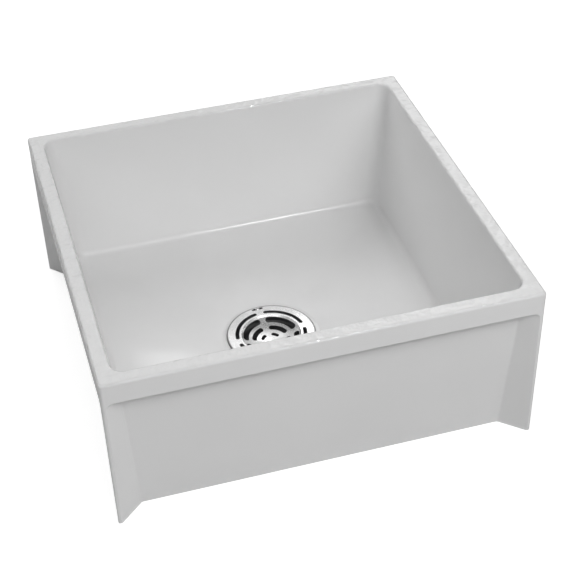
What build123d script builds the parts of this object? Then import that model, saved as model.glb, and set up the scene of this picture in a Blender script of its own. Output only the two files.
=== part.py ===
from build123d import *
import math
import os

os.makedirs("parts", exist_ok=True)

# Mop sink in millimetres.
# X runs to the right along the front, Y runs to the back and Z runs up.
# The origin is the middle of the basin, in the plane of the skirt's foot.

# Basin, outside
basin_side = 609.6
basin_height = 254.0
foot_inset = 3.0
corner_radius_top = 5.0
rim_outer_round = 4.0
fascia_height = 34.0

# Recessed panels between the corner fins
recess_depth_foot = 30.0
recess_depth_top = 17.9
fin_root_foot = 7.4
fin_root_top = 9.5
fin_strip_foot = 4.2
fin_strip_top = 6.4
recess_corner_radius = 9.0
fin_root_round = 4.0
opening_round = 1.0

# Channel behind the turned-down lip of the fascia
lip_wall = 8.0
ledge_thickness = 8.0
channel_setback = 0.6
channel_end_margin = 1.0

# Bowl
rim_width = 21.3
rim_inner_round = 3.5
bowl_corner_radius = 19.0
bowl_wall_lean = 27.0
bowl_foot_height = 42.5
bowl_cove_radius = 11.0

# Floor and the skirt below it
floor_thickness = 8.0
floor_ring_height = 15.0
floor_ring_margin = 6.5
floor_flat_angle = 16.0
skirt_wall = 8.0
skirt_draft_inset = 2.5
skirt_inner_corner_radius = 12.0

# Waste pipe and the seal round it
pipe_radius = 44.45
pipe_gasket_wall = 8.9
pipe_gasket_height = 22.0
pipe_gasket_clearance = 0.15
pipe_gasket_lead = 2.5
pipe_opening_clearance = 2.05

# Nut above the pipe seal
compression_nut_height = 12.0
compression_nut_drop = 6.0
compression_notches = 4
compression_notch_width = 9.0
compression_notch_depth = 4.0
thread_clearance = 0.1

# Strainer
sheet_thickness = 1.5
strainer_proud = 3.0
strainer_edge_gap = 0.4
strainer_edge_drop = 1.2
strainer_turn = 4.5
dish_depth = 14.4
dish_radius = 90.0
dish_lip_run = 2.0
dish_slot_margin = 0.5

# Slots of the strainer, one in each quarter of every ring
slots_per_ring = 4
outer_slot_width = 6.2
outer_slot_margin = 0.9
outer_bridge_angle = 19.0
middle_slot_width = 8.6
middle_ring_step = 13.3
middle_bridge_angle = 25.0
inner_slot_width = 7.4
inner_ring_step = 13.2
inner_bridge_angle = 38.0
centre_slot_width = 5.5
centre_ring_step = 12.6
centre_bridge_angle = 60.0

# Strainer screws
screw_angles = (90.0, 270.0)
screw_rim_margin = 3.4
screw_shank_radius = 1.75
screw_head_radius = 3.2
screw_head_side = 0.5
screw_head_height = 1.9
screw_length = 7.0
screw_point_height = 0.6
screw_point_inset = 0.4
screw_fit = 0.05
screw_hole_spare = 0.5
screw_drive_width = 1.0
screw_drive_depth = 0.8
screw_slot_clearance = 0.25
screw_slot_angle = 12.4

# Drain body
throat_step = 3.3
throat_depth = 22.5
barrel_wall = 3.7
flange_width = 7.1
flange_web = 0.5
flange_seat_clearance = 0.6
barrel_hole_clearance = 0.8
pipe_lip_height = 5.0

# Seals, washer and lock nut
flange_gasket_thickness = 1.5
flange_gasket_setback = 0.3
seat_web = 7.0
lower_gasket_thickness = 3.0
washer_thickness = 1.5
seal_bore_clearance = 0.4
lower_seal_width = 19.5
boss_margin = 4.0
lock_nut_height = 14.0
lock_nut_wall = 11.5
lock_nut_lug_reach = 7.0
lock_nut_lug_width = 14.0
lock_nut_lugs = 8

# Basin, from the values above
half_side = basin_side / 2
half_foot = half_side - foot_inset
outer_draft = math.degrees(math.atan(foot_inset / basin_height))
fascia_foot = basin_height - fascia_height
bowl_half_top = half_side - rim_width
bowl_half_foot = bowl_half_top - bowl_wall_lean
bowl_draft = math.degrees(math.atan(bowl_wall_lean / (basin_height - bowl_foot_height)))

# Drain radii, from the pipe outwards
pipe_opening_radius = pipe_radius + pipe_opening_clearance
gasket_outer_radius = pipe_radius + pipe_gasket_wall
pipe_bore_radius = gasket_outer_radius + pipe_gasket_clearance
throat_radius = pipe_bore_radius + throat_step
barrel_radius = throat_radius + barrel_wall
barrel_hole_radius = barrel_radius + barrel_hole_clearance
flange_radius = barrel_radius + flange_width
strainer_flat_radius = flange_radius + strainer_edge_gap
strainer_radius = strainer_flat_radius + sheet_thickness
floor_ring_radius = strainer_radius + floor_ring_margin
seal_bore_radius = barrel_radius + seal_bore_clearance
lower_seal_radius = barrel_radius + lower_seal_width
boss_radius = lower_seal_radius + boss_margin

# Drain heights, from the strainer down
strainer_top = floor_ring_height + strainer_proud
seat_height = strainer_top - sheet_thickness
screw_hole_depth = screw_length - sheet_thickness + screw_hole_spare
flange_underside = seat_height - screw_hole_depth - flange_web
seat_floor = flange_underside - flange_gasket_thickness
boss_foot = seat_floor - seat_web
washer_top = boss_foot - lower_gasket_thickness
lock_nut_top = washer_top - washer_thickness
throat_foot = seat_height - throat_depth
compression_nut_top = throat_foot - compression_nut_drop
pipe_gasket_top = compression_nut_top - compression_nut_height
pipe_gasket_foot = pipe_gasket_top - pipe_gasket_height
barrel_foot = pipe_gasket_foot - pipe_lip_height

# Rings of slots, as middle radius, width and angle of the bridge between two slots
outer_ring_radius = throat_radius - outer_slot_margin - outer_slot_width / 2
middle_ring_radius = outer_ring_radius - middle_ring_step
inner_ring_radius = middle_ring_radius - inner_ring_step
centre_ring_radius = inner_ring_radius - centre_ring_step
slot_rings = (
    (outer_ring_radius, outer_slot_width, outer_bridge_angle),
    (middle_ring_radius, middle_slot_width, middle_bridge_angle),
    (inner_ring_radius, inner_slot_width, inner_bridge_angle),
    (centre_ring_radius, centre_slot_width, centre_bridge_angle),
)
screw_circle_radius = flange_radius - screw_rim_margin


def outer_half(height):
    """Half side of the basin's outer faces at one height."""
    return half_foot + foot_inset * height / basin_height


# Panel planes and fin faces, from the values above
panel_half_foot = half_foot - recess_depth_foot
panel_half_top = outer_half(fascia_foot) - recess_depth_top
panel_edge_foot = panel_half_foot - fin_root_foot
panel_edge_top = panel_half_top - fin_root_top
panel_rise = math.hypot(fascia_foot, panel_half_top - panel_half_foot)
panel_lean = math.degrees(math.asin((panel_half_top - panel_half_foot) / panel_rise))


def bounds_recess(edge):
    """True for the edges where a recess breaks through an outer face."""
    middle = edge.position_at(0.5)
    near, far = sorted((abs(middle.X), abs(middle.Y)))
    half = outer_half(middle.Z)
    on_face = abs(far - half) < 0.05
    on_corner = half - near < fin_strip_foot / 2
    between_ends = 0.5 < middle.Z < basin_height - 0.5
    return on_face and between_ends and not on_corner


def stands(face):
    """True for a face that stands up, as a wall does."""
    return abs(face.normal_at(face.center()).Z) < 0.5


def rises(edge):
    """True for an edge that runs up from one height to another."""
    return edge.bounding_box().size.Z > 1.0


def round_section(radius, height):
    """Circle drawn as a short arc for each side and a long arc for each corner."""
    side = CenterArc((0, 0), radius, -floor_flat_angle / 2, floor_flat_angle, mode=Mode.PRIVATE)
    corner = CenterArc(
        (0, 0), radius, floor_flat_angle / 2, 90.0 - floor_flat_angle, mode=Mode.PRIVATE
    )
    with BuildSketch(Plane.XY.offset(height)) as section:
        with BuildLine():
            for quarter in range(4):
                turn = Rotation(0, 0, 90.0 * quarter)
                add(turn * side)
                add(turn * corner)
        make_face()
    return section.sketch


def recess_section(plane, half_at_foot, half_at_top, top):
    """Opening of a recess on one plane, rounded at its upper corners and open at the foot."""
    below_foot = -4.0
    spread = (half_at_top - half_at_foot) / top
    half_below = half_at_foot + spread * below_foot
    with BuildSketch(plane) as section:
        with BuildLine():
            Polyline(
                (-half_below, below_foot),
                (half_below, below_foot),
                (half_at_top, top),
                (-half_at_top, top),
                close=True,
            )
        make_face()
        upper_corners = section.vertices().group_by(Axis.Z)[-1]
        fillet(upper_corners, radius=recess_corner_radius)
    return section.sketch


def along_fin(panel_edge, panel_half, fin_strip, outer, depth):
    """Half width of a recess at one depth, on the line from the fin's root to its strip."""
    run = (outer - fin_strip) - panel_edge
    return panel_edge + run * (depth - panel_half) / (outer - panel_half)


def ring_outline(points):
    """Closed outline of radius and height, ready to be turned about Z."""
    with BuildSketch(Plane.XZ) as outline:
        with BuildLine():
            Polyline(*points, close=True)
        make_face()
    return outline.sketch


def flat_ring(inner, outer, low, high):
    """Flat ring between two radii and two heights."""
    with BuildPart() as ring:
        add(ring_outline([(inner, low), (outer, low), (outer, high), (inner, high)]))
        revolve(axis=Axis.Z)
    return ring.part


def turned_place(angle):
    """Place of a screw hole's mouth on the seat of the strainer."""
    return Rotation(0, 0, strainer_turn + angle) * Location((screw_circle_radius, 0, seat_height))


# Space inside the bowl, from the floor up to the rim
rim_plane = Plane.XY.offset(basin_height)
floor_ring = round_section(floor_ring_radius, floor_ring_height)

with BuildPart() as bowl_space:
    with Locations((0, 0, basin_height)):
        Box(
            2 * bowl_half_top,
            2 * bowl_half_top,
            basin_height - bowl_foot_height,
            align=(Align.CENTER, Align.CENTER, Align.MAX),
        )
    draft(bowl_space.faces().filter_by(stands), neutral_plane=rim_plane, angle=-bowl_draft)
    fillet(bowl_space.edges().filter_by(rises), radius=bowl_corner_radius)
    bowl_foot = bowl_space.faces().sort_by(Axis.Z)[0]
    loft([floor_ring, bowl_foot], ruled=True)
    foot_edges = bowl_space.edges().filter_by_position(
        Axis.Z, bowl_foot_height - 0.01, bowl_foot_height + 0.01
    )
    fillet(foot_edges, radius=bowl_cove_radius)

# Hollow under the floor, inside the skirt
underside_edge = bowl_foot_height - floor_thickness
underside_middle = floor_ring_height - floor_thickness
hollow_half = panel_half_foot - skirt_wall
skirt_draft = math.degrees(math.atan(skirt_draft_inset / underside_edge))

with BuildPart() as under_space:
    Box(
        2 * hollow_half,
        2 * hollow_half,
        underside_edge,
        align=(Align.CENTER, Align.CENTER, Align.MIN),
    )
    draft(under_space.faces().filter_by(stands), neutral_plane=Plane.XY, angle=skirt_draft)
    fillet(under_space.edges().filter_by(rises), radius=skirt_inner_corner_radius)
    with Locations((0, 0, (underside_edge + underside_middle) / 2)):
        Wedge(
            2 * hollow_half,
            underside_edge - underside_middle,
            2 * hollow_half,
            hollow_half - boss_radius,
            hollow_half - boss_radius,
            hollow_half + boss_radius,
            hollow_half + boss_radius,
            rotation=(-90, 0, 0),
            mode=Mode.SUBTRACT,
        )

# Recess of one side, from clear of the outer face in to the panel
outside_depth = half_side + 6.0
outside_plane = Plane(origin=(0, -outside_depth, 0), x_dir=(1, 0, 0), z_dir=(0, -1, 0))
panel_plane = Plane(origin=(0, -panel_half_foot, 0), x_dir=(1, 0, 0), z_dir=(0, -1, 0))
panel_plane = panel_plane.rotated((panel_lean, 0, 0))
outside_half_foot = along_fin(
    panel_edge_foot, panel_half_foot, fin_strip_foot, half_foot, outside_depth
)
outside_half_top = along_fin(
    panel_edge_top, panel_half_top, fin_strip_top, outer_half(fascia_foot), outside_depth
)

with BuildPart() as recess:
    loft(
        [
            recess_section(panel_plane, panel_edge_foot, panel_edge_top, panel_rise),
            recess_section(outside_plane, outside_half_foot, outside_half_top, fascia_foot),
        ],
        ruled=True,
    )
    panel_face = recess.faces().sort_by(Axis.Y)[-1]
    root_edges = panel_face.edges().sort_by(Axis.Z)[1:]
    fillet(root_edges, radius=fin_root_round)

# Channel between the lip of one fascia and the bowl's wall, open below
channel_top = basin_height - ledge_thickness
panel_slope = (panel_half_top - panel_half_foot) / fascia_foot
channel_inner = panel_half_foot + panel_slope * channel_top + channel_setback
channel_outer = outer_half(fascia_foot) - lip_wall
channel_half_length = panel_edge_top - channel_end_margin

with BuildPart() as channel:
    with Locations((0, -(channel_inner + channel_outer) / 2, channel_top)):
        Box(
            2 * channel_half_length,
            channel_outer - channel_inner,
            fascia_height,
            align=(Align.CENTER, Align.CENTER, Align.MAX),
        )

# Basin
with BuildPart() as basin_shell:
    with BuildSketch():
        RectangleRounded(basin_side, basin_side, corner_radius_top)
    extrude(amount=basin_height)
    draft(basin_shell.faces().filter_by(stands), neutral_plane=rim_plane, angle=-outer_draft)
    for side in range(4):
        add(Rotation(0, 0, 90.0 * side) * recess.part, mode=Mode.SUBTRACT)
    fillet(basin_shell.edges().filter_by(bounds_recess), radius=opening_round)
    for side in range(4):
        add(Rotation(0, 0, 90.0 * side) * channel.part, mode=Mode.SUBTRACT)
    add(bowl_space.part, mode=Mode.SUBTRACT)
    add(under_space.part, mode=Mode.SUBTRACT)
    with Locations((0, 0, boss_foot)):
        Cylinder(
            boss_radius,
            (underside_middle + floor_ring_height) / 2 - boss_foot,
            align=(Align.CENTER, Align.CENTER, Align.MIN),
        )
    with Locations((0, 0, seat_floor)):
        Cylinder(
            flange_radius + flange_seat_clearance,
            basin_height,
            align=(Align.CENTER, Align.CENTER, Align.MIN),
            mode=Mode.SUBTRACT,
        )
    Cylinder(barrel_hole_radius, basin_height, mode=Mode.SUBTRACT)
    rim_face = basin_shell.faces().group_by(Axis.Z)[-1].sort_by(SortBy.AREA)[-1]
    fillet(rim_face.outer_wire().edges(), radius=rim_outer_round)
    rim_face = basin_shell.faces().group_by(Axis.Z)[-1].sort_by(SortBy.AREA)[-1]
    fillet(rim_face.inner_wires()[0].edges(), radius=rim_inner_round)

basin_shell.part.label = "basin_shell"
export_step(basin_shell.part, "parts/basin_shell.step")

# Strainer: flat flange with a turned-down edge, a steep lip and a spherical dish
dish_bottom = strainer_top - dish_depth
dish_edge_radius = middle_ring_radius + middle_slot_width / 2 + dish_slot_margin
dish_lip_radius = dish_edge_radius + dish_lip_run
dish_centre = (0, dish_bottom + dish_radius)
dish_under_radius = dish_radius + sheet_thickness
dish_spread = math.degrees(math.asin(dish_edge_radius / dish_radius))
edge_foot = seat_height - strainer_edge_drop
under_lip = (dish_lip_radius + sheet_thickness / 2, seat_height)

with BuildPart() as strainer:
    with BuildSketch(Plane.XZ):
        with BuildLine():
            dish = CenterArc(dish_centre, dish_radius, -90, dish_spread)
            dish_under = CenterArc(dish_centre, dish_under_radius, -90, dish_spread)
            Line(dish @ 0, dish_under @ 0)
            Polyline(
                dish @ 1,
                (dish_lip_radius, strainer_top),
                (strainer_flat_radius, strainer_top),
            )
            RadiusArc(
                (strainer_flat_radius, strainer_top),
                (strainer_radius, seat_height),
                sheet_thickness,
            )
            Polyline(
                (strainer_radius, seat_height),
                (strainer_radius, edge_foot),
                (strainer_flat_radius, edge_foot),
                (strainer_flat_radius, seat_height),
                under_lip,
                dish_under @ 1,
            )
        make_face()
    revolve(axis=Axis.Z)
    for ring_radius, slot_width, bridge_angle in slot_rings:
        slot_angle = 360.0 / slots_per_ring - bridge_angle
        slot_line = CenterArc(
            (0, 0), ring_radius, bridge_angle / 2, slot_angle, mode=Mode.PRIVATE
        )
        with BuildSketch(Plane.XY.offset(barrel_foot)):
            with PolarLocations(0, slots_per_ring):
                SlotArc(slot_line, slot_width)
        extrude(amount=strainer_top - barrel_foot + 1.0, mode=Mode.SUBTRACT)
    screw_line = CenterArc(
        (0, 0),
        screw_circle_radius,
        -screw_slot_angle / 2,
        screw_slot_angle,
        mode=Mode.PRIVATE,
    )
    with BuildSketch(Plane.XY.offset(barrel_foot)):
        for screw_angle in screw_angles:
            with Locations(Rotation(0, 0, screw_angle)):
                SlotArc(screw_line, 2 * (screw_shank_radius + screw_slot_clearance))
    extrude(amount=strainer_top - barrel_foot + 1.0, mode=Mode.SUBTRACT)

turned_strainer = Rotation(0, 0, strainer_turn) * strainer.part
turned_strainer.label = "strainer"
export_step(turned_strainer, "parts/strainer.step")

# Strainer screws: domed head with a slot for the driver, and a plain shank
screw_foot = strainer_top - screw_length
screw_head_top = strainer_top + screw_head_height

with BuildPart() as strainer_screw:
    with BuildSketch(Plane.XZ):
        with BuildLine():
            Polyline(
                (0, screw_head_top),
                (0, screw_foot),
                (screw_shank_radius - screw_point_inset, screw_foot),
                (screw_shank_radius, screw_foot + screw_point_height),
                (screw_shank_radius, strainer_top),
                (screw_head_radius, strainer_top),
                (screw_head_radius, strainer_top + screw_head_side),
            )
            TangentArc(
                (0, screw_head_top),
                (screw_head_radius, strainer_top + screw_head_side),
                tangent=(1, 0),
            )
        make_face()
    revolve(axis=Axis.Z)
    with Locations((0, 0, screw_head_top)):
        Box(
            3 * screw_head_radius,
            screw_drive_width,
            2 * screw_drive_depth,
            mode=Mode.SUBTRACT,
        )

for number, screw_angle in enumerate(screw_angles, start=1):
    place = turned_place(screw_angle) * Location((0, 0, -seat_height))
    placed_screw = place * strainer_screw.part
    placed_screw.label = f"strainer_screw_{number}"
    export_step(placed_screw, f"parts/strainer_screw_{number}.step")

# Drain body: flange, barrel, throat and the lip that carries the pipe seal
with BuildPart() as drain_body:
    add(
        ring_outline(
            [
                (throat_radius, seat_height),
                (flange_radius, seat_height),
                (flange_radius, flange_underside),
                (barrel_radius, flange_underside),
                (barrel_radius, barrel_foot),
                (pipe_opening_radius, barrel_foot),
                (pipe_opening_radius, pipe_gasket_foot),
                (pipe_bore_radius, pipe_gasket_foot),
                (pipe_bore_radius, throat_foot),
                (throat_radius, throat_foot + throat_step),
            ]
        )
    )
    revolve(axis=Axis.Z)
    for screw_angle in screw_angles:
        with Locations(turned_place(screw_angle)):
            Cylinder(
                screw_shank_radius + screw_fit,
                screw_hole_depth,
                align=(Align.CENTER, Align.CENTER, Align.MAX),
                mode=Mode.SUBTRACT,
            )

drain_body.part.label = "drain_body"
export_step(drain_body.part, "parts/drain_body.step")

# Flat seals above and below the floor, and the washer that lets the nut turn
flange_gasket = flat_ring(
    seal_bore_radius, flange_radius - flange_gasket_setback, seat_floor, flange_underside
)
flange_gasket.label = "flange_gasket"
export_step(flange_gasket, "parts/flange_gasket.step")

lower_gasket = flat_ring(seal_bore_radius, lower_seal_radius, washer_top, boss_foot)
lower_gasket.label = "lower_gasket"
export_step(lower_gasket, "parts/lower_gasket.step")

friction_washer = flat_ring(seal_bore_radius, lower_seal_radius, lock_nut_top, washer_top)
friction_washer.label = "friction_washer"
export_step(friction_washer, "parts/friction_washer.step")

# Lock nut with rounded lugs
lock_nut_radius = barrel_radius + lock_nut_wall

with BuildPart() as lock_nut:
    with BuildSketch(Plane.XY.offset(lock_nut_top)):
        Circle(lock_nut_radius)
        with PolarLocations(lock_nut_radius, lock_nut_lugs):
            SlotOverall(2 * lock_nut_lug_reach, lock_nut_lug_width - 0.01)
        Circle(barrel_radius + thread_clearance, mode=Mode.SUBTRACT)
    extrude(amount=-lock_nut_height)

lock_nut.part.label = "lock_nut"
export_step(lock_nut.part, "parts/lock_nut.step")

# Rubber seal on the waste pipe, opened out at both ends
pipe_gasket_lead_radius = pipe_radius + pipe_gasket_lead

with BuildPart() as pipe_gasket:
    add(
        ring_outline(
            [
                (pipe_gasket_lead_radius, pipe_gasket_foot),
                (gasket_outer_radius, pipe_gasket_foot),
                (gasket_outer_radius, pipe_gasket_top),
                (pipe_gasket_lead_radius, pipe_gasket_top),
                (pipe_radius, pipe_gasket_top - pipe_gasket_lead),
                (pipe_radius, pipe_gasket_foot + pipe_gasket_lead),
            ]
        )
    )
    revolve(axis=Axis.Z)

pipe_gasket.part.label = "pipe_gasket"
export_step(pipe_gasket.part, "parts/pipe_gasket.step")

# Nut that squeezes the pipe seal, notched so that it can be turned from above
compression_nut_radius = pipe_bore_radius - thread_clearance

with BuildPart() as compression_nut:
    add(
        flat_ring(
            pipe_opening_radius, compression_nut_radius, pipe_gasket_top, compression_nut_top
        )
    )
    with Locations((0, 0, compression_nut_top)):
        with PolarLocations(compression_nut_radius, compression_notches):
            Box(
                3 * (compression_nut_radius - pipe_opening_radius),
                compression_notch_width,
                2 * compression_notch_depth,
                mode=Mode.SUBTRACT,
            )

compression_nut.part.label = "compression_nut"
export_step(compression_nut.part, "parts/compression_nut.step")
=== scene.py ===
"""Mop sink: finishes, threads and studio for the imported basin, strainer and drain.

Everything is in metres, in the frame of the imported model: X to the right along the front,
Y to the back, Z up, with the origin in the middle of the skirt's foot.
"""

import logging
import math
from dataclasses import dataclass
from enum import Enum

import bmesh
import bpy
from mathutils import Matrix, Vector

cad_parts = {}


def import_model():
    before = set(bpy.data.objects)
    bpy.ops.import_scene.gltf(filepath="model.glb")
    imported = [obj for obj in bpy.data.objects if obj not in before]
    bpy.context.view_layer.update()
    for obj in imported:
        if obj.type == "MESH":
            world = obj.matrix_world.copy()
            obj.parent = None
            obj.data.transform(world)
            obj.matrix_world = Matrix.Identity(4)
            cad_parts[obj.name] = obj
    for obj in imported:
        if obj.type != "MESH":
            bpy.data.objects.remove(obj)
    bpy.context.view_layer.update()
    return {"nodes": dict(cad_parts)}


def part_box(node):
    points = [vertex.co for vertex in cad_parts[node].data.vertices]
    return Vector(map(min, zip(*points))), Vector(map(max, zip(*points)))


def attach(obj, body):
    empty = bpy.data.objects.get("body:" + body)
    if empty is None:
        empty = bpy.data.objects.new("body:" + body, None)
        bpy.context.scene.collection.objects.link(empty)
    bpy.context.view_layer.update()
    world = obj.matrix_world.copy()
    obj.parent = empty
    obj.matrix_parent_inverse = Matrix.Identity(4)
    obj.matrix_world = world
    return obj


Colour = tuple[float, float, float]
Place = tuple[float, float, float]

log = logging.getLogger("mop_sink")


class Body(str, Enum):
    """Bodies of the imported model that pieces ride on."""

    BASIN = "basin"
    STRAINER = "strainer_set"


class Slot(str, Enum):
    """Material slots of the record."""

    GELCOAT = "gelcoat"
    STAINLESS = "stainless"
    SCREW_STEEL = "screw_steel"
    DRAIN_PLASTIC = "drain_plastic"
    SEAL_RUBBER = "seal_rubber"
    SLIP_WASHER = "slip_washer"


# Shader groups


class SurfaceGroups:
    """Node groups that the finishes share, each built once.

    A ratio is the scale of an added layer over the scale that the group is given, and a share
    is that layer's weight.
    """

    QUICK_RATIO: float = 3.3
    QUICK_SHARE: float = 0.3
    COARSE_RATIO: float = 0.21
    COARSE_SHARE: float = 0.5
    DEPTH_SCALE: float = 400.0

    def __init__(self) -> None:
        """Builds every group."""
        self.ripple = self._build_ripple()
        self.grain = self._build_grain()
        self.turned = self._build_turned()
        self.film = self._build_film()

    @staticmethod
    def _new(name: str, inputs: dict[str, float], outputs: list[str]) -> bpy.types.NodeTree:
        """Makes an empty group with a place input, float inputs and float outputs.

        Args:
            name: Name of the group.
            inputs: Float inputs and the value that each starts with.
            outputs: Names of the float outputs.

        Returns:
            The group, with its input and output nodes in place.
        """
        group = bpy.data.node_groups.new(name, "ShaderNodeTree")
        face = group.interface
        face.new_socket(name="Place", in_out="INPUT", socket_type="NodeSocketVector")
        for key, value in inputs.items():
            socket = face.new_socket(name=key, in_out="INPUT", socket_type="NodeSocketFloat")
            socket.default_value = value
        for key in outputs:
            face.new_socket(name=key, in_out="OUTPUT", socket_type="NodeSocketFloat")
        group.nodes.new("NodeGroupInput").name = "In"
        group.nodes.new("NodeGroupOutput").name = "Out"
        return group

    def _build_ripple(self) -> bpy.types.NodeTree:
        """Slow waves of a moulded skin: a shade mask and a height.

        Returns:
            The group, with outputs Shade and Height.
        """
        group = self._new("skin_ripple", {"Scale": 6.0, "Detail": 2.0}, ["Shade", "Height"])
        graph = Graph(group)
        place = graph.inlet("Place")
        slow = graph.noise(
            place, graph.inlet("Scale"), detail=graph.inlet("Detail"), roughness=0.5
        )
        quick_scale = graph.maths("MULTIPLY", graph.inlet("Scale"), self.QUICK_RATIO)
        quick = graph.noise(place, quick_scale, detail=1.0, roughness=0.4)
        part = graph.maths("MULTIPLY", quick, self.QUICK_SHARE)
        graph.outlet("Shade", graph.spread(slow, low=0.32, high=0.68))
        graph.outlet("Height", graph.maths("ADD", slow, part))
        return group

    def _build_grain(self) -> bpy.types.NodeTree:
        """Fine even grain: a mask of specks and a height.

        Returns:
            The group, with outputs Speck and Height.
        """
        group = self._new("fine_grain", {"Scale": 900.0}, ["Speck", "Height"])
        graph = Graph(group)
        place = graph.inlet("Place")
        fine = graph.noise(place, graph.inlet("Scale"), detail=3.0, roughness=0.6)
        coarse_scale = graph.maths("MULTIPLY", graph.inlet("Scale"), self.COARSE_RATIO)
        coarse = graph.noise(place, coarse_scale, detail=2.0, roughness=0.5)
        part = graph.maths("MULTIPLY", coarse, self.COARSE_SHARE)
        graph.outlet("Speck", graph.spread(coarse, low=0.4, high=0.62))
        graph.outlet("Height", graph.maths("ADD", fine, part))
        return group

    def _build_turned(self) -> bpy.types.NodeTree:
        """Rings round the Z axis, as polishing on a spindle leaves them.

        Returns:
            The group, with outputs Line and Height.
        """
        group = self._new("turned_lines", {"Rings": 2600.0, "Break": 9.0}, ["Line", "Height"])
        graph = Graph(group)
        parts = graph.parts(graph.inlet("Place"))
        angle = graph.maths("ARCTAN2", parts["Y"], parts["X"])
        polar = graph.node("ShaderNodeCombineXYZ")
        rings = graph.maths("MULTIPLY", graph.radius(parts), graph.inlet("Rings"))
        graph.link(rings, polar.inputs["X"])
        graph.link(graph.maths("MULTIPLY", angle, graph.inlet("Break")), polar.inputs["Y"])
        depth = graph.maths("MULTIPLY", parts["Z"], self.DEPTH_SCALE)
        graph.link(depth, polar.inputs["Z"])
        lines = graph.noise(polar.outputs["Vector"], 1.0, detail=3.0, roughness=0.65)
        graph.outlet("Line", graph.spread(lines, low=0.35, high=0.65))
        graph.outlet("Height", lines)
        return group

    def _build_film(self) -> bpy.types.NodeTree:
        """Thin uneven patches, stronger where the surface lies low: dust on the plastics, and a
        slight darkening towards the bottom on the gelcoat.

        Returns:
            The group, with output Film.
        """
        group = self._new("settled_film", {"Scale": 14.0, "Low": 0.0, "High": 0.05}, ["Film"])
        graph = Graph(group)
        place = graph.inlet("Place")
        height = graph.node("ShaderNodeMapRange")
        graph.link(graph.parts(place)["Z"], height.inputs["Value"])
        graph.link(graph.inlet("Low"), height.inputs["From Min"])
        graph.link(graph.inlet("High"), height.inputs["From Max"])
        height.inputs["To Min"].default_value = 1.0
        height.inputs["To Max"].default_value = 0.0
        cloud = graph.noise(place, graph.inlet("Scale"), detail=4.0, roughness=0.6)
        patch = graph.spread(cloud, low=0.35, high=0.7)
        graph.outlet("Film", graph.maths("MULTIPLY", height.outputs["Result"], patch))
        return group


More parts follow.
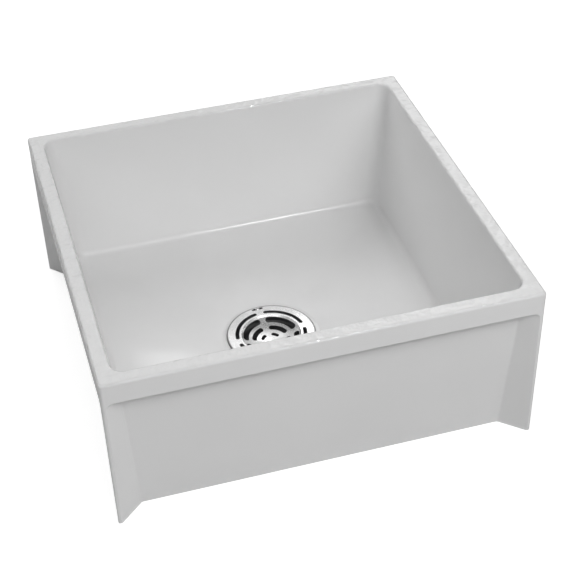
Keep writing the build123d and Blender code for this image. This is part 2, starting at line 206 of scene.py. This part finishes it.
class Graph:
    """Short forms for the nodes and links of one node tree."""

    def __init__(self, tree: bpy.types.NodeTree) -> None:
        """Keeps the tree.

        Args:
            tree: Node tree that the calls add to.
        """
        self.tree = tree

    def node(self, kind: str) -> bpy.types.Node:
        """Adds a node of a kind."""
        return self.tree.nodes.new(kind)

    def inlet(self, name: str) -> bpy.types.NodeSocket:
        """Socket of the group's input."""
        return self.tree.nodes["In"].outputs[name]

    def outlet(self, name: str, value: bpy.types.NodeSocket) -> None:
        """Links a value to the group's output."""
        self.link(value, self.tree.nodes["Out"].inputs[name])

    def link(self, source: bpy.types.NodeSocket, target: bpy.types.NodeSocket) -> None:
        """Links two sockets."""
        self.tree.links.new(source, target)

    def put(self, socket: bpy.types.NodeSocket, value: "bpy.types.NodeSocket | float") -> None:
        """Links a socket or sets a number on it.

        Args:
            socket: Socket that takes the value.
            value: Another socket, or a number.
        """
        if isinstance(value, (int, float)):
            socket.default_value = value
        else:
            self.link(value, socket)

    def maths(
        self,
        operation: str,
        first: "bpy.types.NodeSocket | float",
        second: "bpy.types.NodeSocket | float" = 0.0,
    ) -> bpy.types.NodeSocket:
        """Result of one arithmetic step.

        Args:
            operation: Name of the step, as the Math node has it.
            first: First value.
            second: Second value, where the step takes one.

        Returns:
            The socket with the result.
        """
        step = self.node("ShaderNodeMath")
        step.operation = operation
        self.put(step.inputs[0], first)
        self.put(step.inputs[1], second)
        return step.outputs[0]

    def parts(self, value: bpy.types.NodeSocket) -> bpy.types.bpy_prop_collection:
        """Parts X, Y and Z of a vector.

        Args:
            value: The vector.

        Returns:
            The sockets with the parts, by letter.
        """
        split = self.node("ShaderNodeSeparateXYZ")
        self.link(value, split.inputs[0])
        return split.outputs

    def radius(self, parts: bpy.types.bpy_prop_collection) -> bpy.types.NodeSocket:
        """Distance from the Z axis.

        Args:
            parts: Parts of the place.

        Returns:
            The socket with the distance.
        """
        across = self.maths("POWER", parts["X"], 2.0)
        along = self.maths("POWER", parts["Y"], 2.0)
        return self.maths("SQRT", self.maths("ADD", across, along))

    def noise(
        self,
        place: bpy.types.NodeSocket,
        scale: "bpy.types.NodeSocket | float",
        detail: "bpy.types.NodeSocket | float",
        roughness: float,
    ) -> bpy.types.NodeSocket:
        """Value of a noise texture, about 0.5 in the mean.

        Args:
            place: Place in the texture.
            scale: Waves to the metre.
            detail: Number of finer layers.
            roughness: Weight of the finer layers.

        Returns:
            The socket with the value.
        """
        noise = self.node("ShaderNodeTexNoise")
        self.link(place, noise.inputs["Vector"])
        self.put(noise.inputs["Scale"], scale)
        self.put(noise.inputs["Detail"], detail)
        self.put(noise.inputs["Roughness"], roughness)
        return noise.outputs["Fac"]

    def spread(self, value: bpy.types.NodeSocket, low: float, high: float) -> bpy.types.NodeSocket:
        """Stretches a value so that low to high becomes 0 to 1."""
        return self.between(value, low, high, 0.0, 1.0)

    def between(
        self, value: bpy.types.NodeSocket, low: float, high: float, first: float, last: float
    ) -> bpy.types.NodeSocket:
        """Carries one span of values over to another, smoothly at both ends.

        Args:
            value: Value to carry over.
            low: Start of the span it comes from.
            high: End of the span it comes from.
            first: Result at low.
            last: Result at high.

        Returns:
            The socket with the result.
        """
        span = self.node("ShaderNodeMapRange")
        span.interpolation_type = "SMOOTHSTEP"
        self.link(value, span.inputs["Value"])
        for key, number in zip(
            ("From Min", "From Max", "To Min", "To Max"), (low, high, first, last)
        ):
            span.inputs[key].default_value = number
        return span.outputs["Result"]

    def blend(
        self, mask: bpy.types.NodeSocket, low: "Colour | bpy.types.NodeSocket", high: Colour
    ) -> bpy.types.NodeSocket:
        """Colour between two, by a mask.

        Args:
            mask: 0 for the first colour and 1 for the second.
            low: First colour, or a socket that carries one.
            high: Second colour.

        Returns:
            The socket with the colour.
        """
        mix = self.node("ShaderNodeMix")
        mix.data_type = "RGBA"
        self.link(mask, mix.inputs["Factor"])
        colours = [socket for socket in mix.inputs if socket.type == "RGBA"]
        if isinstance(low, tuple):
            colours[0].default_value = (*low, 1.0)
        else:
            self.link(low, colours[0])
        colours[1].default_value = (*high, 1.0)
        return next(socket for socket in mix.outputs if socket.type == "RGBA")

    def bump(
        self,
        height: bpy.types.NodeSocket,
        distance: float,
        strength: float,
        under: "bpy.types.NodeSocket | None" = None,
    ) -> bpy.types.NodeSocket:
        """Normal of a bumpy surface.

        Args:
            height: Height mask.
            distance: Height in metres where the mask is 1.
            strength: Share of the effect.
            under: Normal of a coarser layer that this one adds to.

        Returns:
            The socket with the normal.
        """
        bump = self.node("ShaderNodeBump")
        bump.inputs["Distance"].default_value = distance
        bump.inputs["Strength"].default_value = strength
        self.link(height, bump.inputs["Height"])
        if under is not None:
            self.link(under, bump.inputs["Normal"])
        return bump.outputs["Normal"]

    def group(
        self, tree: bpy.types.NodeTree, place: bpy.types.NodeSocket, **values: float
    ) -> bpy.types.Node:
        """Places a shared group.

        Args:
            tree: The group.
            place: Place on the surface.
            **values: Numbers for the group's inputs, by name.

        Returns:
            The group's node.
        """
        node = self.node("ShaderNodeGroup")
        node.node_tree = tree
        self.link(place, node.inputs["Place"])
        for key, number in values.items():
            node.inputs[key].default_value = number
        return node


# Finishes


@dataclass(frozen=True)
class Finish:
    """A surface finish that can be turned into a material."""

    name: str
    colour: Colour
    colour_deep: Colour

    def begin(self) -> tuple[bpy.types.Material, Graph, bpy.types.Node, bpy.types.NodeSocket]:
        """Starts a material.

        Returns:
            The material, its graph, its surface shader and the place on the surface.
        """
        material = bpy.data.materials.new(self.name)
        material.use_nodes = True
        graph = Graph(material.node_tree)
        shader = material.node_tree.nodes["Principled BSDF"]
        coordinates = graph.node("ShaderNodeTexCoord")
        return material, graph, shader, coordinates.outputs["Object"]

    def make(self, groups: SurfaceGroups) -> bpy.types.Material:
        """Builds the material; each kind of finish has its own way."""
        raise NotImplementedError


@dataclass(frozen=True)
class GelcoatFinish(Finish):
    """White glossy skin of the moulded basin, dull and unpolished on its underside."""

    raw_colour: Colour = (0.62, 0.617, 0.607)
    raw_roughness: float = 0.75
    raw_facing: float = -0.9
    skin_facing: float = -0.6
    gloss_low: float = 0.09
    gloss_high: float = 0.16
    refraction: float = 1.5
    wave_scale: float = 5.0
    wave_detail: float = 2.0
    wave_height: float = 0.0005
    wave_share: float = 0.6
    wave_mean: float = 0.65
    rim_height: float = 0.2535
    rim_fade: float = 0.001
    rim_wave_scale: float = 60.0
    rim_wave_detail: float = 1.0
    rim_wave_height: float = 0.0028
    peel_scale: float = 420.0
    peel_height: float = 0.00002
    peel_share: float = 0.5
    film_scale: float = 11.0
    film_low: float = 0.012
    film_high: float = 0.06
    low_darkening_share: float = 0.35
    low_darkening_tone: float = 0.93

    def make(self, groups: SurfaceGroups) -> bpy.types.Material:
        """Builds the gelcoat.

        Args:
            groups: Shared shader groups.

        Returns:
            The material.
        """
        material, graph, shader, place = self.begin()
        ripple = graph.group(
            groups.ripple, place, Scale=self.wave_scale, Detail=self.wave_detail
        )
        grain = graph.group(groups.grain, place, Scale=self.peel_scale)
        film = graph.group(
            groups.film, place, Scale=self.film_scale, Low=self.film_low, High=self.film_high
        )
        raw = self.underside_mask(graph)
        tone = graph.blend(ripple.outputs["Shade"], self.colour, self.colour_deep)
        # Slightly darker in patches towards the bottom: low in the bowl and at the foot of the
        # skirt.
        low_darkening = graph.maths("MULTIPLY", film.outputs["Film"], self.low_darkening_share)
        tone = graph.blend(low_darkening, tone, tuple(self.low_darkening_tone * c for c in self.colour_deep))
        graph.link(graph.blend(raw, tone, self.raw_colour), shader.inputs["Base Color"])
        gloss = graph.between(
            ripple.outputs["Shade"], 0.0, 1.0, self.gloss_low, self.gloss_high
        )
        lift = graph.maths("MULTIPLY", raw, self.raw_roughness - self.gloss_high)
        graph.link(graph.maths("ADD", gloss, lift), shader.inputs["Roughness"])
        wave = graph.bump(ripple.outputs["Height"], self.wave_height, self.wave_share)
        rim = self.rim_waves(graph, groups, place)
        wave = graph.bump(rim, self.rim_wave_height, 1.0, wave)
        skin = graph.bump(grain.outputs["Height"], self.peel_height, self.peel_share, wave)
        graph.link(skin, shader.inputs["Normal"])
        shader.inputs["IOR"].default_value = self.refraction
        return material

    def rim_waves(
        self, graph: Graph, groups: SurfaceGroups, place: bpy.types.NodeSocket
    ) -> bpy.types.NodeSocket:
        """Short waves that the trimmed and rubbed down rim keeps in its gloss.

        Args:
            graph: Graph of the material.
            groups: Shared shader groups.
            place: Place on the surface.

        Returns:
            Height of the waves about their mean, and zero below the rim.
        """
        high = graph.spread(
            graph.parts(place)["Z"], self.rim_height - self.rim_fade, self.rim_height
        )
        waves = graph.group(
            groups.ripple, place, Scale=self.rim_wave_scale, Detail=self.rim_wave_detail
        )
        level = graph.maths("SUBTRACT", waves.outputs["Height"], self.wave_mean)
        return graph.maths("MULTIPLY", level, high)

    def underside_mask(self, graph: Graph) -> bpy.types.NodeSocket:
        """Mask of the faces that look down, which come off the mould unpolished.

        Args:
            graph: Graph of the material.

        Returns:
            1 on faces that look down and 0 elsewhere.
        """
        surface = graph.node("ShaderNodeNewGeometry")
        facing = graph.parts(surface.outputs["True Normal"])["Z"]
        return graph.between(facing, self.raw_facing, self.skin_facing, 1.0, 0.0)


@dataclass(frozen=True)
class SteelFinish(Finish):
    """Bright stamped or turned stainless steel, dull on its sheared walls, with painted shade on
    those walls and on the outer edge.
    """

    # Colour of the painted shade on the sheared walls and on the outer edge.
    painted_shade_colour: Colour = (0.10, 0.10, 0.10)
    sheared_roughness: float = 0.4
    wall_facing: float = 0.15
    face_facing: float = 0.35
    edge_start: float = 1.0
    edge_end: float = 2.0
    edge_share: float = 0.75
    gloss_low: float = 0.14
    gloss_high: float = 0.30
    rings: float = 2600.0
    ring_breaks: float = 9.0
    line_height: float = 0.00001
    line_share: float = 0.5
    patch_scale: float = 38.0
    patch_detail: float = 3.0
    patch_share: float = 0.6

    def make(self, groups: SurfaceGroups) -> bpy.types.Material:
        """Builds the steel.

        Args:
            groups: Shared shader groups.

        Returns:
            The material.
        """
        material, graph, shader, place = self.begin()
        lines = graph.group(groups.turned, place, Rings=self.rings, Break=self.ring_breaks)
        ripple = graph.group(
            groups.ripple, place, Scale=self.patch_scale, Detail=self.patch_detail
        )
        dull_and_shaded = self.dull_and_shaded_mask(graph, place)
        tone = graph.blend(lines.outputs["Line"], self.colour, self.colour_deep)
        # Painted shade: upright walls are darkened for the shade in the slots, and the outer edge
        # for the shade in the gap round the strainer.
        tone = graph.blend(dull_and_shaded, tone, self.painted_shade_colour)
        graph.link(tone, shader.inputs["Base Color"])
        patches = graph.maths("MULTIPLY", ripple.outputs["Shade"], self.patch_share)
        marks = graph.maths("MULTIPLY", lines.outputs["Line"], 1.0 - self.patch_share)
        mask = graph.maths("ADD", patches, marks)
        gloss = graph.between(mask, 0.0, 1.0, self.gloss_low, self.gloss_high)
        dull = graph.maths("MULTIPLY", dull_and_shaded, self.sheared_roughness)
        graph.link(graph.maths("ADD", gloss, dull), shader.inputs["Roughness"])
        normal = graph.bump(lines.outputs["Height"], self.line_height, self.line_share)
        graph.link(normal, shader.inputs["Normal"])
        shader.inputs["Metallic"].default_value = 1.0
        return material

    def dull_and_shaded_mask(self, graph: Graph, place: bpy.types.NodeSocket) -> bpy.types.NodeSocket:
        """Mask of the walls that a punch leaves and of the outer edge, which are dulled and
        darkened as painted shade.

        Args:
            graph: Graph of the material.
            place: Place on the surface.

        Returns:
            1 on upright walls and past the start of the outer edge, and 0 elsewhere.
        """
        surface = graph.node("ShaderNodeNewGeometry")
        facing = graph.parts(surface.outputs["True Normal"])["Z"]
        slope = graph.maths("ABSOLUTE", facing)
        walls = graph.between(slope, self.wall_facing, self.face_facing, 1.0, 0.0)
        radius = graph.radius(graph.parts(place))
        edge = graph.between(radius, self.edge_start, self.edge_end, 0.0, self.edge_share)
        return graph.maths("MAXIMUM", walls, edge)


@dataclass(frozen=True)
class PlasticFinish(Finish):
    """Moulded plastic or rubber with a fine grain and a little dust."""

    grain_scale: float = 1500.0
    grain_height: float = 0.00006
    grain_share: float = 0.5
    gloss_low: float = 0.38
    gloss_high: float = 0.56
    specular: float = 0.5
    patch_scale: float = 24.0
    patch_detail: float = 3.0
    film_scale: float = 30.0
    film_low: float = -0.05
    film_high: float = 0.02
    dust_share: float = 0.12
    dust_keep: float = 0.5
    dust_lift: float = 0.22

    def make(self, groups: SurfaceGroups) -> bpy.types.Material:
        """Builds the plastic or rubber.

        Args:
            groups: Shared shader groups.

        Returns:
            The material.
        """
        material, graph, shader, place = self.begin()
        grain = graph.group(groups.grain, place, Scale=self.grain_scale)
        ripple = graph.group(
            groups.ripple, place, Scale=self.patch_scale, Detail=self.patch_detail
        )
        film = graph.group(
            groups.film, place, Scale=self.film_scale, Low=self.film_low, High=self.film_high
        )
        tone = graph.blend(ripple.outputs["Shade"], self.colour, self.colour_deep)
        dust = graph.maths("MULTIPLY", film.outputs["Film"], self.dust_share)
        pale = tuple(self.dust_keep * c + self.dust_lift for c in self.colour)
        graph.link(graph.blend(dust, tone, pale), shader.inputs["Base Color"])
        gloss = graph.between(
            grain.outputs["Speck"], 0.0, 1.0, self.gloss_low, self.gloss_high
        )
        graph.link(gloss, shader.inputs["Roughness"])
        normal = graph.bump(grain.outputs["Height"], self.grain_height, self.grain_share)
        graph.link(normal, shader.inputs["Normal"])
        shader.inputs["Specular IOR Level"].default_value = self.specular
        return material


FINISHES: dict[Slot, Finish] = {
    Slot.GELCOAT: GelcoatFinish("gelcoat_white", (0.835, 0.835, 0.835), (0.815, 0.815, 0.815)),
    Slot.STAINLESS: SteelFinish(
        "stainless_turned",
        (0.90, 0.90, 0.90),
        (0.84, 0.84, 0.84),
        # The band from edge_start to edge_end is painted shade: the outer edge darkened as in the
        # gap round the strainer.
        edge_start=0.0662,
        edge_end=0.0684,
    ),
    Slot.SCREW_STEEL: SteelFinish(
        "screw_steel_bright",
        (0.88, 0.88, 0.88),
        (0.80, 0.80, 0.80),
        # Painted shade on the screws' upright walls, lighter than on the strainer.
        painted_shade_colour=(0.45, 0.45, 0.45),
        gloss_low=0.12,
        rings=900.0,
    ),
    Slot.DRAIN_PLASTIC: PlasticFinish(
        "drain_plastic_black", (0.035, 0.035, 0.037), (0.05, 0.05, 0.052)
    ),
    Slot.SEAL_RUBBER: PlasticFinish(
        "seal_rubber_black",
        (0.022, 0.022, 0.022),
        (0.034, 0.034, 0.033),
        grain_scale=700.0,
        gloss_low=0.62,
        gloss_high=0.82,
        specular=0.3,
    ),
    Slot.SLIP_WASHER: PlasticFinish(
        "slip_washer_pale",
        (0.60, 0.57, 0.50),
        (0.52, 0.49, 0.42),
        grain_scale=500.0,
        gloss_low=0.5,
        gloss_high=0.7,
    ),
}


# Pieces


SMOOTH_ANGLE = 30.0


@dataclass
class Thread:
    """Screw thread that stands on a round wall, made as one ridge wound round the wall."""

    name: str
    wall_radius: float
    foot: float
    top: float
    pitch: float
    height: float
    outward: bool = True
    steps_per_turn: int = 72
    root_depth: float = 0.0003
    root_share: float = 0.45
    crest_share: float = 0.12
    run_out: float = 0.25
    least_ridge: float = 0.05

    def build(self) -> bpy.types.Object:
        """Builds the ridge, run out to nothing at both ends.

        Returns:
            The new piece.
        """
        turns = (self.top - self.foot) / self.pitch - 1.0
        count = int(turns * self.steps_per_turn)
        side = 1.0 if self.outward else -1.0
        mesh = bmesh.new()
        rows = []
        for step in range(count + 1):
            turn = step / self.steps_per_turn
            angle = 2.0 * math.pi * turn
            middle = self.foot + self.pitch * (turn + 0.5)
            fade = min(1.0, turn / self.run_out, (turns - turn) / self.run_out)
            crest = side * self.height * max(fade, self.least_ridge)
            root = -side * self.root_depth
            profile = (
                (root, -self.root_share * self.pitch),
                (crest, -self.crest_share * self.pitch),
                (crest, self.crest_share * self.pitch),
                (root, self.root_share * self.pitch),
            )
            row = []
            for out, rise in profile:
                radius = self.wall_radius + out
                point = (radius * math.cos(angle), radius * math.sin(angle), middle + rise)
                row.append(mesh.verts.new(point))
            rows.append(row)
        corners = len(rows[0])
        for below, above in zip(rows, rows[1:]):
            for index in range(corners):
                follow = (index + 1) % corners
                mesh.faces.new((below[index], below[follow], above[follow], above[index]))
        mesh.faces.new(rows[0][::-1])
        mesh.faces.new(rows[-1])
        return finish_mesh(mesh, self.name)


def finish_mesh(mesh: bmesh.types.BMesh, name: str) -> bpy.types.Object:
    """Turns a mesh under construction into an object in the scene.

    Args:
        mesh: Mesh under construction, freed by the call.
        name: Name of the piece.

    Returns:
        The object.
    """
    bmesh.ops.recalc_face_normals(mesh, faces=mesh.faces)
    limit = math.radians(SMOOTH_ANGLE)
    for face in mesh.faces:
        face.smooth = True
    for edge in mesh.edges:
        edge.smooth = len(edge.link_faces) == 2 and edge.calc_face_angle(0.0) < limit
    data = bpy.data.meshes.new(name)
    mesh.to_mesh(data)
    mesh.free()
    piece = bpy.data.objects.new(name, data)
    bpy.context.scene.collection.objects.link(piece)
    return piece


@dataclass
class SubAssembly:
    """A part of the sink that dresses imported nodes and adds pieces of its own."""

    nodes: dict[str, bpy.types.Object]
    materials: dict[Slot, bpy.types.Material]
    body: Body = Body.BASIN

    def build(self) -> None:
        """Dresses the nodes and adds the pieces; each sub-assembly has its own way."""
        raise NotImplementedError

    def dress(self, name: str, slot: Slot) -> None:
        """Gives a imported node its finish.

        Args:
            name: Name of the node.
            slot: Slot of the record that its finish belongs to.
        """
        material = self.materials[slot]
        slots = self.nodes[name].data.materials
        if len(slots) == 0:
            slots.append(material)
        for index in range(len(slots)):
            slots[index] = material
        log.info("node %s on %s: %s", name, self.body.value, material.name)

    def add(self, piece: bpy.types.Object, body: Body, slot: Slot) -> None:
        """Gives a new piece its finish and lets it ride on a body.

        Args:
            piece: The new piece.
            body: Body that it rides on.
            slot: Slot of the record that its finish belongs to.
        """
        material = self.materials[slot]
        piece.data.materials.append(material)
        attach(piece, body.value)
        log.info("piece %s on %s: %s", piece.name, body.value, material.name)


@dataclass
class Basin(SubAssembly):
    """The moulded basin."""

    shell: str = "basin_shell"

    def build(self) -> None:
        """Dresses the basin."""
        self.dress(self.shell, Slot.GELCOAT)


@dataclass
class Strainer(SubAssembly):
    """The slotted strainer and its screws, which lift out together."""

    body: Body = Body.STRAINER
    plate: str = "strainer"
    screws: tuple[str, ...] = ("strainer_screw_1", "strainer_screw_2")

    def build(self) -> None:
        """Dresses the strainer and its screws."""
        self.dress(self.plate, Slot.STAINLESS)
        for name in self.screws:
            self.dress(name, Slot.SCREW_STEEL)


@dataclass
class Drain(SubAssembly):
    """The drain body with its threads, seals, slip washer and nuts."""

    plastics: tuple[str, ...] = ("drain_body", "lock_nut", "compression_nut")
    seals: tuple[str, ...] = ("flange_gasket", "lower_gasket", "pipe_gasket")
    washer: str = "friction_washer"
    barrel_radius: float = 0.0605
    bore_radius: float = 0.0535
    throat_foot: float = -0.006
    end_gap: float = 0.0006
    pitch: float = 0.0025
    ridge: float = 0.0010
    bore_share: float = 0.8

    def build(self) -> None:
        """Dresses the drain and adds the threads on its barrel and in its bore."""
        for name in self.plastics:
            self.dress(name, Slot.DRAIN_PLASTIC)
        for name in self.seals:
            self.dress(name, Slot.SEAL_RUBBER)
        self.dress(self.washer, Slot.SLIP_WASHER)
        for thread in (self.barrel_thread(), self.bore_thread()):
            self.add(thread.build(), self.body, Slot.DRAIN_PLASTIC)

    def barrel_thread(self) -> Thread:
        """Thread on the barrel, from its foot up to the lock nut.

        Returns:
            The thread.
        """
        barrel_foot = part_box("drain_body")[0]
        nut_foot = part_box("lock_nut")[0]
        return Thread(
            name="barrel_thread",
            wall_radius=self.barrel_radius,
            foot=barrel_foot[2] + self.end_gap,
            top=nut_foot[2] - self.end_gap,
            pitch=self.pitch,
            height=self.ridge,
        )

    def bore_thread(self) -> Thread:
        """Thread inside the bore, from the compression nut up to the throat.

        Returns:
            The thread.
        """
        nut_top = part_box("compression_nut")[1]
        return Thread(
            name="bore_thread",
            wall_radius=self.bore_radius,
            foot=nut_top[2] + self.end_gap,
            top=self.throat_foot - self.end_gap,
            pitch=self.pitch * self.bore_share,
            height=self.ridge * self.bore_share,
            outward=False,
        )


# Studio


@dataclass(frozen=True)
class Camera:
    """Camera at the photograph's viewing angle."""

    place: Place = (-0.427455, -1.664885, 1.467091)
    right: Place = (0.959621, -0.280245, -0.024310)
    ahead: Place = (0.205670, 0.757957, -0.619033)
    lens: float = 91.386
    film: float = 36.0
    near: float = 0.05
    far: float = 50.0

    def build(self) -> None:
        """Places the camera and makes it the scene's own."""
        data = bpy.data.cameras.new("photo_camera")
        data.lens = self.lens
        data.sensor_width = self.film
        data.clip_start = self.near
        data.clip_end = self.far
        camera = bpy.data.objects.new("photo_camera", data)
        bpy.context.scene.collection.objects.link(camera)
        back = -Vector(self.ahead).normalized()
        up = back.cross(Vector(self.right)).normalized()
        right = up.cross(back)
        turn = Matrix((right, up, back)).transposed().to_4x4()
        camera.matrix_world = Matrix.Translation(self.place) @ turn
        bpy.context.scene.camera = camera
        log.info("camera %s", camera.name)


@dataclass(frozen=True)
class SoftLamp:
    """Square soft lamp that looks at the middle of the basin.

    The bearing is counted from straight in front of the basin towards its right side.
    """

    name: str
    bearing: float
    elevation: float
    size: float
    power: float
    mirrored: bool = True
    distance: float = 2.8
    aim: Place = (0.0, 0.0, 0.1)

    def place(self) -> Vector:
        """Place of the lamp.

        Returns:
            The middle of the lamp's face.
        """
        bearing = math.radians(self.bearing)
        elevation = math.radians(self.elevation)
        level = self.distance * math.cos(elevation)
        away = Vector(
            (
                level * math.sin(bearing),
                -level * math.cos(bearing),
                self.distance * math.sin(elevation),
            )
        )
        return Vector(self.aim) + away

    def build(self) -> None:
        """Places the lamp."""
        data = bpy.data.lights.new(self.name, "AREA")
        data.shape = "SQUARE"
        data.size = self.size
        data.energy = self.power
        lamp = bpy.data.objects.new(self.name, data)
        place = self.place()
        lamp.location = place
        lamp.visible_glossy = self.mirrored
        lamp.rotation_euler = (Vector(self.aim) - place).to_track_quat("-Z", "Y").to_euler()
        bpy.context.scene.collection.objects.link(lamp)
        log.info("lamp %s", self.name)


LAMPS = (
    SoftLamp("key_lamp", bearing=19.0, elevation=43.0, size=0.32, power=10.0),
    SoftLamp("key_spread", bearing=38.0, elevation=45.0, size=1.3, power=20.0),
    SoftLamp("front_fill", bearing=0.0, elevation=45.0, size=1.3, power=12.0),
    SoftLamp("camera_fill", bearing=328.0, elevation=43.0, size=1.3, power=9.3),
    SoftLamp("left_fill", bearing=300.0, elevation=42.0, size=1.4, power=3.0),
    SoftLamp("left_low", bearing=270.0, elevation=21.0, size=0.9, power=2.5, mirrored=False),
    SoftLamp("back_card", bearing=197.0, elevation=43.0, size=1.7, power=30.0, mirrored=False),
    SoftLamp("back_panel", bearing=153.0, elevation=35.0, size=0.85, power=4.5),
    SoftLamp("under_fill", bearing=0.0, elevation=-90.0, size=0.8, power=22.0, mirrored=False),
)


@dataclass(frozen=True)
class Studio:
    """Pale floor, pale background and soft light."""

    floor_size: float = 14.0
    floor_sides: int = 64
    floor_hole: float = 0.10
    floor_level: float = -0.0003
    floor_colour: Colour = (0.66, 0.66, 0.66)
    floor_lift: float = 0.70
    floor_gloss_share: float = 0.1
    bright_side: Place = (0.24, 0.75, 0.62)
    bright_start: float = 0.94
    bright_end: float = 0.82
    room_gloss: float = 0.3
    lamps: tuple[SoftLamp, ...] = LAMPS

    def build(self) -> None:
        """Builds the floor, the sky and the lamps."""
        self.build_floor()
        self.build_sky()
        for lamp in self.lamps:
            lamp.build()

    def build_floor(self) -> None:
        """Builds a floor with a round hole under the basin for the drain."""
        mesh = bmesh.new()
        half = self.floor_size / 2
        inner = []
        outer = []
        for index in range(self.floor_sides):
            angle = 2.0 * math.pi * index / self.floor_sides
            across, along = math.cos(angle), math.sin(angle)
            reach = half / max(abs(across), abs(along))
            for ring, radius in ((inner, self.floor_hole), (outer, reach)):
                point = (radius * across, radius * along, self.floor_level)
                ring.append(mesh.verts.new(point))
        for index in range(self.floor_sides):
            follow = (index + 1) % self.floor_sides
            mesh.faces.new((inner[index], outer[index], outer[follow], inner[follow]))
        floor = finish_mesh(mesh, "floor")
        if floor.data.polygons[0].normal.z < 0.0:
            floor.data.flip_normals()
        floor.data.materials.append(self.floor_material())
        log.info("floor %s", floor.name)

    def floor_material(self) -> bpy.types.Material:
        """Pale matt floor that the camera sees as white, with the object's shadow kept.

        It is clear from below, and lets the lamp under it light the basin's underside.

        Returns:
            The material.
        """
        material = bpy.data.materials.new("floor_pale")
        material.use_nodes = True
        graph = Graph(material.node_tree)
        material.node_tree.nodes.remove(material.node_tree.nodes["Principled BSDF"])
        output = material.node_tree.nodes["Material Output"]
        matt = graph.node("ShaderNodeBsdfDiffuse")
        matt.inputs["Color"].default_value = (*self.floor_colour, 1.0)
        glow = graph.node("ShaderNodeEmission")
        path = graph.node("ShaderNodeLightPath")
        seen = self.seen(graph, path, self.floor_gloss_share)
        graph.link(graph.maths("MULTIPLY", seen, self.floor_lift), glow.inputs["Strength"])
        both = graph.node("ShaderNodeAddShader")
        graph.link(matt.outputs[0], both.inputs[0])
        graph.link(glow.outputs[0], both.inputs[1])
        clear = graph.node("ShaderNodeBsdfTransparent")
        surface = graph.node("ShaderNodeNewGeometry")
        sides = graph.node("ShaderNodeMixShader")
        passing = graph.maths(
            "MAXIMUM", surface.outputs["Backfacing"], path.outputs["Is Shadow Ray"]
        )
        graph.link(passing, sides.inputs["Fac"])
        graph.link(both.outputs[0], sides.inputs[1])
        graph.link(clear.outputs[0], sides.inputs[2])
        graph.link(sides.outputs[0], output.inputs["Surface"])
        return material

    @staticmethod
    def seen(
        graph: Graph, path: bpy.types.Node, mirrored_share: "bpy.types.NodeSocket | float"
    ) -> bpy.types.NodeSocket:
        """Strength of a background that shows in the picture but doesn't light the basin.

        Args:
            graph: Graph of the material or of the sky.
            path: Its light path.
            mirrored_share: Strength for mirrored rays.

        Returns:
            1 for camera and transmitted rays, the share for mirrored rays and 0 for others.
        """
        mirrored = graph.maths("MULTIPLY", path.outputs["Is Glossy Ray"], mirrored_share)
        seen = graph.maths("MAXIMUM", path.outputs["Is Camera Ray"], mirrored)
        return graph.maths("MAXIMUM", seen, path.outputs["Is Transmission Ray"])

    def build_sky(self) -> None:
        """Sky that is white where it is seen, and mirrored fully only from the bright side."""
        world = bpy.data.worlds.new("studio_sky")
        bpy.context.scene.world = world
        world.use_nodes = True
        graph = Graph(world.node_tree)
        ground = world.node_tree.nodes["Background"]
        aim = graph.node("ShaderNodeVectorMath")
        aim.operation = "DOT_PRODUCT"
        graph.link(graph.node("ShaderNodeTexCoord").outputs["Generated"], aim.inputs[0])
        aim.inputs[1].default_value = Vector(self.bright_side).normalized()
        room = graph.between(
            aim.outputs["Value"], self.bright_end, self.bright_start, self.room_gloss, 1.0
        )
        seen = self.seen(graph, graph.node("ShaderNodeLightPath"), room)
        ground.inputs["Color"].default_value = (1.0, 1.0, 1.0, 1.0)
        graph.link(seen, ground.inputs["Strength"])


def make_materials() -> dict[Slot, bpy.types.Material]:
    """Builds every finish once.

    Returns:
        Finishes by slot.
    """
    groups = SurfaceGroups()
    return {slot: finish.make(groups) for slot, finish in FINISHES.items()}


def main() -> None:
    """Builds the sink and its studio in order."""
    logging.basicConfig(level=logging.INFO, format="%(name)s: %(message)s")
    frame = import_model()
    bpy.context.scene.view_settings.view_transform = "Standard"
    materials = make_materials()
    for part in (Basin, Strainer, Drain):
        part(frame["nodes"], materials).build()
    Studio().build()
    Camera().build()
    bpy.context.view_layer.update()


if __name__ == "__main__":
    main()
